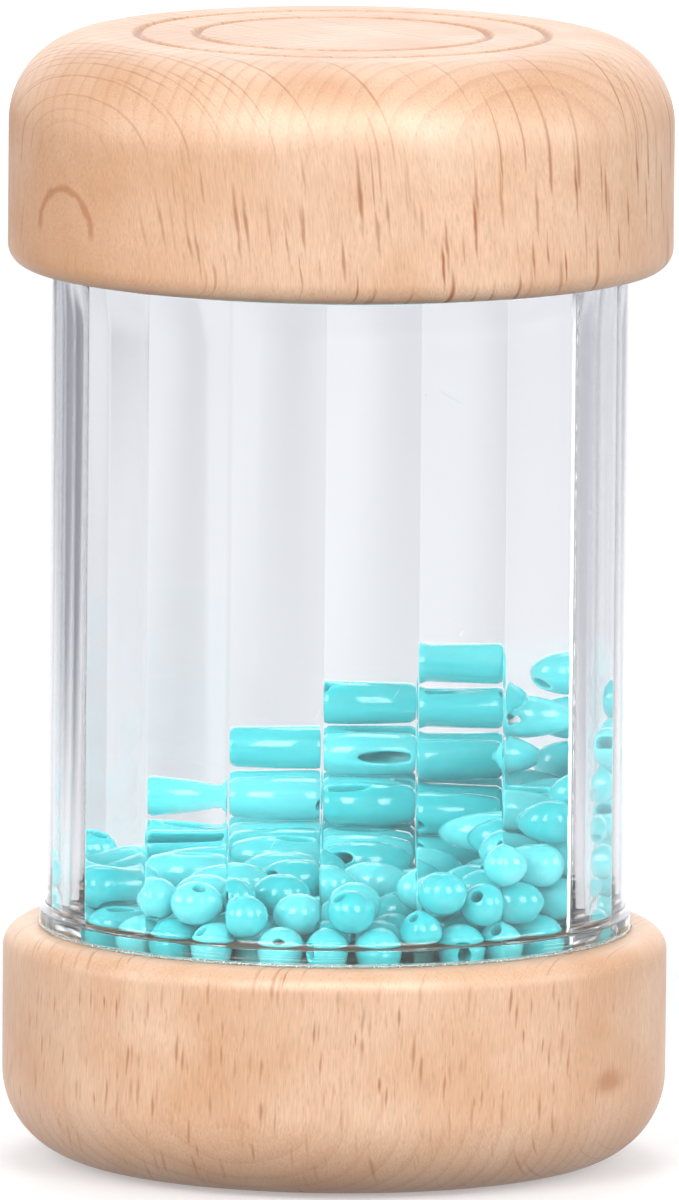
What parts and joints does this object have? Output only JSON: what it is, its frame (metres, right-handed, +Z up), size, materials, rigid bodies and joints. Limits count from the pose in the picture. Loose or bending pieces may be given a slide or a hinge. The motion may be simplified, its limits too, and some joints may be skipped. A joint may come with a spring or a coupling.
{
  "type": "rain stick",
  "caption": "Short shaker rain stick: loose round beads in a clear faceted-bore tube glued between two turned wooden caps, which it stands on either way up.",
  "frame": {"origin": "centre of the base cap's flat outer face, on the surface that the part stands on", "axes": "+Z up along the tube's axis, -Y towards the viewer of the picture, +X to the right"},
  "size_m": [0.06, 0.06, 0.102],
  "materials": {
    "beech": "turned and oiled satin",
    "clear_acrylic": "clear moulded, polished",
    "clear_glue": "cured clear adhesive with fine bubbles",
    "turquoise_bead": "moulded, milky, glossy"
  },
  "bodies": {
    "shell": {"base_cap": "beech", "top_cap": "beech", "tube": "clear_acrylic", "base_plug": "clear_acrylic", "top_plug": "clear_acrylic", "base_glue_ring": "clear_glue", "top_glue_ring": "clear_glue"},
    "wall_beads": {"wall_beads_layer_1": "turquoise_bead", "wall_beads_layer_2": "turquoise_bead", "wall_beads_layer_3": "turquoise_bead", "wall_beads_layer_4": "turquoise_bead", "wall_beads_layer_5": "turquoise_bead", "wall_beads_layer_6": "turquoise_bead"},
    "outer_beads": {"outer_beads_layer_1": "turquoise_bead", "outer_beads_layer_2": "turquoise_bead", "outer_beads_layer_3": "turquoise_bead", "outer_beads_layer_4": "turquoise_bead"},
    "middle_beads": {"middle_beads_layer_1": "turquoise_bead", "middle_beads_layer_2": "turquoise_bead", "middle_beads_layer_3": "turquoise_bead"},
    "inner_beads": {"inner_beads_layer_1": "turquoise_bead", "inner_beads_layer_2": "turquoise_bead"},
    "core_beads": {"core_beads_layer_1": "turquoise_bead", "core_beads_layer_2": "turquoise_bead"},
    "centre_beads": {"centre_beads": "turquoise_bead"}
  },
  "joints": [
    {"name": "wall_beads_run", "type": "slide", "parent": "shell", "child": "wall_beads", "axis": [0, 0, 1], "range_m": [0, 0.0373]},
    {"name": "outer_beads_run", "type": "slide", "parent": "shell", "child": "outer_beads", "axis": [0, 0, 1], "range_m": [0, 0.0446]},
    {"name": "middle_beads_run", "type": "slide", "parent": "shell", "child": "middle_beads", "axis": [0, 0, 1], "range_m": [0, 0.0495]},
    {"name": "inner_beads_run", "type": "slide", "parent": "shell", "child": "inner_beads", "axis": [0, 0, 1], "range_m": [0, 0.0534]},
    {"name": "core_beads_run", "type": "slide", "parent": "shell", "child": "core_beads", "axis": [0, 0, 1], "range_m": [0, 0.0536]},
    {"name": "centre_beads_run", "type": "slide", "parent": "shell", "child": "centre_beads", "axis": [0, 0, 1], "range_m": [0, 0.0536]}
  ]
}
